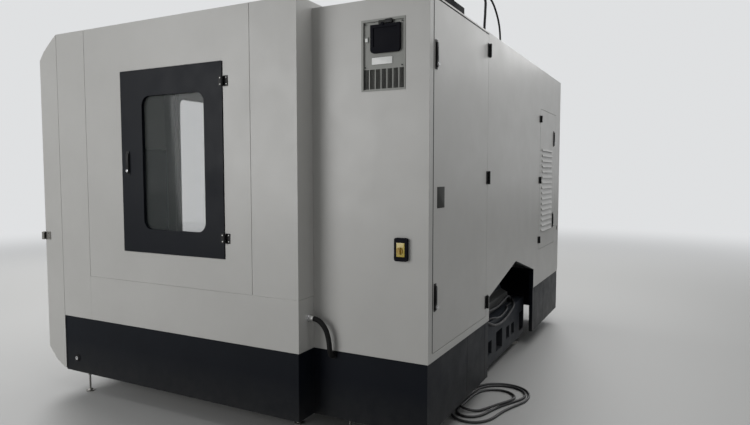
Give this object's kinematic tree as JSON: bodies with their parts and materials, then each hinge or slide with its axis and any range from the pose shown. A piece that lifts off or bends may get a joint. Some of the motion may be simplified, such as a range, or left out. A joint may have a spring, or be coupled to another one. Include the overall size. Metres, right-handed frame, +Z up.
{
  "type": "vertical machining centre",
  "caption": "Enclosed vertical machining centre with side service door, electrical cabinet with cooling unit, louvred rear door, sliding front doors, table, spindle head and tool changer.",
  "frame": {"origin": "on the floor, at the centre of the machine's box", "axes": "+X to the right seen from the front, +Y to the rear, +Z up"},
  "size_m": [4.252, 3.5483, 3.4339],
  "materials": {
    "white_paint": "satin enamel with a fine texture",
    "charcoal_paint": "satin enamel",
    "casting_paint": "painted casting",
    "steel": "ground",
    "zinc": "zinc plated",
    "grey_plastic": "fine texture",
    "black_plastic": "fine texture",
    "screen": "smooth",
    "yellow_plastic": "smooth",
    "red_plastic": "smooth",
    "green_plastic": "smooth",
    "cable_sheath": "matt",
    "glass": "clear, slightly grey"
  },
  "bodies": {
    "machine": {"base_casting": "casting_paint", "column": "casting_paint", "levelling_feet": "zinc", "y_axis": "steel", "z_axis": "steel", "chip_pan": "steel", "splash_wall": "charcoal_paint", "front_fascia": "white_paint", "guard_front": "white_paint", "guard_skirt": "white_paint", "guard_surround": "white_paint", "guard_rear": "white_paint", "guard_left": "white_paint", "roof_panels": "white_paint", "column_cover": "charcoal_paint", "plinth_panels": "charcoal_paint", "cabinet_shell": "white_paint", "drive_plate": "zinc", "rear_panel": "white_paint", "left_rear_shell": "white_paint", "ac_unit": "grey_plastic", "ac_screen": "screen", "isolator_box": "black_plastic", "side_hose": "cable_sheath", "cable_glands": "zinc", "edge_bracket": "steel", "roof_conduit": "cable_sheath", "roof_hose": "cable_sheath", "base_cables": "cable_sheath", "floor_cable_lead": "cable_sheath", "floor_cable_coil": "cable_sheath", "floor_cable_return": "cable_sheath", "lube_unit": "white_paint", "hinges": "black_plastic", "magazine_frame": "casting_paint"},
    "isolator_handle": {"isolator_handle": "yellow_plastic"},
    "service_door": {"service_door": "charcoal_paint", "service_glass": "glass"},
    "service_handle": {"service_handle": "black_plastic"},
    "cabinet_door": {"cabinet_door": "white_paint"},
    "cabinet_handle_top": {"cabinet_handle_top": "black_plastic"},
    "cabinet_handle_bottom": {"cabinet_handle_bottom": "black_plastic"},
    "louvre_door": {"louvre_door": "white_paint"},
    "louvre_handle_top": {"louvre_handle_top": "black_plastic"},
    "louvre_handle_bottom": {"louvre_handle_bottom": "black_plastic"},
    "front_door_right": {"front_door_right": "white_paint", "front_glass_right": "glass"},
    "front_door_left": {"front_door_left": "white_paint", "front_glass_left": "glass"},
    "saddle": {"saddle": "casting_paint", "x_axis": "steel"},
    "table": {"table": "casting_paint"},
    "head": {"spindle_head": "white_paint"},
    "spindle": {"spindle": "steel"},
    "carousel": {"tool_carousel": "charcoal_paint"},
    "change_arm": {"change_arm": "steel"},
    "pendant": {"pendant": "charcoal_paint"},
    "emergency_stop": {"emergency_stop": "red_plastic"},
    "override_knob": {"override_knob": "black_plastic"},
    "start_button": {"start_button": "green_plastic"}
  },
  "joints": [
    {"name": "isolator_turn", "type": "hinge", "parent": "machine", "child": "isolator_handle", "pos_m": [1.95, 1.432, 1.235], "axis": [1, 0, 0], "range_deg": [0, 90]},
    {"name": "service_door_swing", "type": "hinge", "parent": "machine", "child": "service_door", "pos_m": [2.118, 0.253, 1.764], "axis": [0, 0, 1], "range_deg": [0, 110]},
    {"name": "service_handle_turn", "type": "hinge", "parent": "service_door", "child": "service_handle", "pos_m": [2.12, -0.635, 1.818], "axis": [1, 0, 0], "range_deg": [0, 90]},
    {"name": "cabinet_door_swing", "type": "hinge", "parent": "machine", "child": "cabinet_door", "pos_m": [0.81, 1.617, 1.653], "axis": [0, 0, 1], "range_deg": [0, 110]},
    {"name": "cabinet_handle_top_turn", "type": "hinge", "parent": "cabinet_door", "child": "cabinet_handle_top", "pos_m": [1.835, 1.615, 2.424], "axis": [0, 1, 0], "range_deg": [0, 90]},
    {"name": "cabinet_handle_bottom_turn", "type": "hinge", "parent": "cabinet_door", "child": "cabinet_handle_bottom", "pos_m": [1.835, 1.615, 1.014], "axis": [0, 1, 0], "range_deg": [0, 90]},
    {"name": "louvre_door_swing", "type": "hinge", "parent": "machine", "child": "louvre_door", "pos_m": [-0.92, 1.617, 1.62], "axis": [0, 0, 1], "range_deg": [-110, 0]},
    {"name": "louvre_handle_top_turn", "type": "hinge", "parent": "louvre_door", "child": "louvre_handle_top", "pos_m": [-1.583, 1.62, 2.114], "axis": [0, 1, 0], "range_deg": [0, 90]},
    {"name": "louvre_handle_bottom_turn", "type": "hinge", "parent": "louvre_door", "child": "louvre_handle_bottom", "pos_m": [-1.583, 1.62, 1.235], "axis": [0, 1, 0], "range_deg": [0, 90]},
    {"name": "front_door_right_slide", "type": "slide", "parent": "machine", "child": "front_door_right", "axis": [1, 0, 0], "range_m": [0, 0.76]},
    {"name": "front_door_left_slide", "type": "slide", "parent": "machine", "child": "front_door_left", "axis": [-1, 0, 0], "range_m": [0, 0.76]},
    {"name": "saddle_travel", "type": "slide", "parent": "machine", "child": "saddle", "axis": [0, 1, 0], "range_m": [-0.4, 0.4]},
    {"name": "table_travel", "type": "slide", "parent": "saddle", "child": "table", "axis": [1, 0, 0], "range_m": [-0.75, 0.75]},
    {"name": "head_travel", "type": "slide", "parent": "machine", "child": "head", "axis": [0, 0, 1], "range_m": [-0.7, 0]},
    {"name": "spindle_spin", "type": "hinge", "parent": "head", "child": "spindle", "pos_m": [0, -0.45, 1.9], "axis": [0, 0, 1], "continuous": true},
    {"name": "carousel_turn", "type": "hinge", "parent": "machine", "child": "carousel", "pos_m": [-0.73, -0.45, 2.3], "axis": [1, 0, 0], "continuous": true},
    {"name": "arm_turn", "type": "hinge", "parent": "machine", "child": "change_arm", "pos_m": [-0.33, -0.45, 1.81], "axis": [0, 0, 1], "range_deg": [0, 90]},
    {"name": "pendant_swing", "type": "hinge", "parent": "machine", "child": "pendant", "pos_m": [1.41, -1.617, 1.48], "axis": [0, 0, 1], "range_deg": [0, 90]},
    {"name": "emergency_stop_press", "type": "slide", "parent": "pendant", "child": "emergency_stop", "axis": [0, 1, 0], "range_m": [0, 0.005], "stiffness_N_per_m": 2000},
    {"name": "override_knob_turn", "type": "hinge", "parent": "pendant", "child": "override_knob", "pos_m": [1.3, -1.595, 1.18], "axis": [0, 1, 0], "range_deg": [-135, 135]},
    {"name": "start_button_press", "type": "slide", "parent": "pendant", "child": "start_button", "axis": [0, 1, 0], "range_m": [0, 0.003], "stiffness_N_per_m": 1000}
  ]
}
